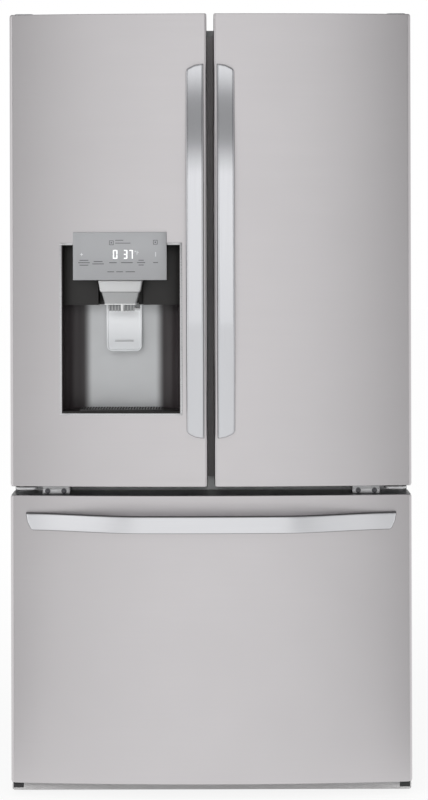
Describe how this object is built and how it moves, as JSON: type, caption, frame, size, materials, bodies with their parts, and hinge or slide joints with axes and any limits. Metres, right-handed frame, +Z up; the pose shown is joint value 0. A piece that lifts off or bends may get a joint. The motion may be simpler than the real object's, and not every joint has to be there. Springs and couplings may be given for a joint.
{
  "type": "bottom freezer refrigerator",
  "caption": "French-door refrigerator with a bottom freezer drawer, a water and ice dispenser in the left door, bowed bar handles and fitted shelves, bins and drawers.",
  "frame": {"origin": "middle of the overall box in X and Y, on the floor", "axes": "+Z up, the doors face -Y, +X to the right as seen from the front"},
  "size_m": [0.908, 0.9046, 1.772],
  "materials": {
    "stainless": "satin",
    "handle_steel": "polished",
    "case_paint": "satin",
    "galvanised": "satin",
    "insulation": "matte",
    "white_plastic": "satin",
    "light_plastic": "satin",
    "grey_plastic": "satin",
    "dark_plastic": "satin",
    "seal": "matte",
    "shelf_glass": "gloss",
    "clear_plastic": "gloss",
    "black_metal": "satin",
    "heat_exchanger": "satin"
  },
  "bodies": {
    "cabinet": {"outer_case": "case_paint", "rear_panel": "galvanised", "cabinet_foam": "insulation", "inner_liner": "white_plastic", "machine_cover": "grey_plastic", "base_pan": "galvanised", "kick_strip": "grey_plastic", "compressor": "black_metal", "condenser": "heat_exchanger", "evaporator": "heat_exchanger", "evaporator_cover": "white_plastic", "back_duct": "light_plastic", "lower_shelf": "shelf_glass", "upper_shelf_left": "shelf_glass", "upper_shelf_right": "shelf_glass", "crisper_cover": "shelf_glass", "top_hinge_left": "galvanised", "top_hinge_right": "galvanised", "hinge_cover_left": "grey_plastic", "hinge_cover_right": "grey_plastic", "mid_hinge_left": "galvanised", "mid_hinge_right": "galvanised", "slide_outer_left": "galvanised", "slide_outer_right": "galvanised"},
    "left_door": {"left_door_skin": "stainless", "left_door_core": "white_plastic", "left_door_gasket": "seal", "left_door_handle": "handle_steel", "left_door_bin": "clear_plastic", "dispenser_housing": "dark_plastic", "control_panel": "light_plastic", "ice_chute": "light_plastic", "ice_bin": "clear_plastic", "ice_maker": "white_plastic"},
    "centre_flap": {"centre_flap": "light_plastic"},
    "paddle": {"dispenser_paddle": "white_plastic"},
    "ice_auger": {"ice_auger": "light_plastic"},
    "right_door": {"right_door_skin": "stainless", "right_door_core": "white_plastic", "right_door_gasket": "seal", "right_door_handle": "handle_steel", "right_door_bin_lower": "clear_plastic", "right_door_bin_middle": "clear_plastic", "right_door_bin_upper": "clear_plastic"},
    "freezer_drawer": {"freezer_front_skin": "stainless", "freezer_front_core": "white_plastic", "freezer_gasket": "seal", "freezer_handle": "handle_steel", "freezer_basket": "light_plastic"},
    "freezer_slides": {"slide_middle_left": "galvanised", "slide_middle_right": "galvanised"},
    "freezer_tray": {"freezer_tray": "light_plastic"},
    "crisper_left": {"crisper_left": "clear_plastic"},
    "crisper_right": {"crisper_right": "clear_plastic"},
    "condenser_fan": {"condenser_fan": "dark_plastic"},
    "evaporator_fan": {"evaporator_fan": "dark_plastic"},
    "rear_roller_left": {"rear_roller_left": "dark_plastic"},
    "rear_roller_right": {"rear_roller_right": "dark_plastic"},
    "levelling_leg_left": {"levelling_leg_left": "dark_plastic"},
    "levelling_leg_right": {"levelling_leg_right": "dark_plastic"}
  },
  "joints": [
    {"name": "left_door_hinge", "type": "hinge", "parent": "cabinet", "child": "left_door", "pos_m": [-0.43, -0.34465, 0.7], "axis": [0, 0, -1], "range_deg": [0, 120]},
    {"name": "right_door_hinge", "type": "hinge", "parent": "cabinet", "child": "right_door", "pos_m": [0.43, -0.34465, 0.7], "axis": [0, 0, 1], "range_deg": [0, 120]},
    {"name": "centre_flap_fold", "type": "hinge", "parent": "left_door", "child": "centre_flap", "pos_m": [-0.034, -0.27615, 0.75], "axis": [0, 0, -1], "range_deg": [0, 90]},
    {"name": "freezer_slide", "type": "slide", "parent": "cabinet", "child": "freezer_drawer", "axis": [0, -1, 0], "range_m": [0, 0.45]},
    {"name": "slide_middle_travel", "type": "slide", "parent": "cabinet", "child": "freezer_slides", "axis": [0, -1, 0], "range_m": [0, 0.225]},
    {"name": "freezer_tray_slide", "type": "slide", "parent": "cabinet", "child": "freezer_tray", "axis": [0, -1, 0], "range_m": [0, 0.225]},
    {"name": "crisper_left_slide", "type": "slide", "parent": "cabinet", "child": "crisper_left", "axis": [0, -1, 0], "range_m": [0, 0.05]},
    {"name": "crisper_right_slide", "type": "slide", "parent": "cabinet", "child": "crisper_right", "axis": [0, -1, 0], "range_m": [0, 0.05]},
    {"name": "paddle_press", "type": "hinge", "parent": "left_door", "child": "paddle", "pos_m": [-0.2, -0.33368, 1.101], "axis": [1, 0, 0], "range_deg": [0, 12], "stiffness_Nm_per_rad": 0.3, "springref_deg": -8.59},
    {"name": "ice_auger_spin", "type": "hinge", "parent": "left_door", "child": "ice_auger", "pos_m": [-0.228, -0.32135, 1.334], "axis": [1, 0, 0], "continuous": true},
    {"name": "condenser_fan_spin", "type": "hinge", "parent": "cabinet", "child": "condenser_fan", "pos_m": [0.019, 0.33335, 0.132], "axis": [1, 0, 0], "continuous": true},
    {"name": "evaporator_fan_spin", "type": "hinge", "parent": "cabinet", "child": "evaporator_fan", "pos_m": [0, 0.29735, 0.58], "axis": [0, 1, 0], "continuous": true},
    {"name": "rear_roller_left_spin", "type": "hinge", "parent": "cabinet", "child": "rear_roller_left", "pos_m": [-0.4, 0.40535, 0.019], "axis": [1, 0, 0], "continuous": true},
    {"name": "rear_roller_right_spin", "type": "hinge", "parent": "cabinet", "child": "rear_roller_right", "pos_m": [0.4, 0.40535, 0.019], "axis": [1, 0, 0], "continuous": true},
    {"name": "levelling_leg_left_turn", "type": "hinge", "parent": "cabinet", "child": "levelling_leg_left", "pos_m": [-0.438, -0.26265, 0], "axis": [0, 0, 1], "continuous": true},
    {"name": "levelling_leg_right_turn", "type": "hinge", "parent": "cabinet", "child": "levelling_leg_right", "pos_m": [0.438, -0.26265, 0], "axis": [0, 0, 1], "continuous": true}
  ],
  "couplings": [
    {"joint": "slide_middle_travel", "follows": "freezer_slide", "ratio": 0.5},
    {"joint": "freezer_tray_slide", "follows": "freezer_slide", "ratio": 0.5}
  ]
}
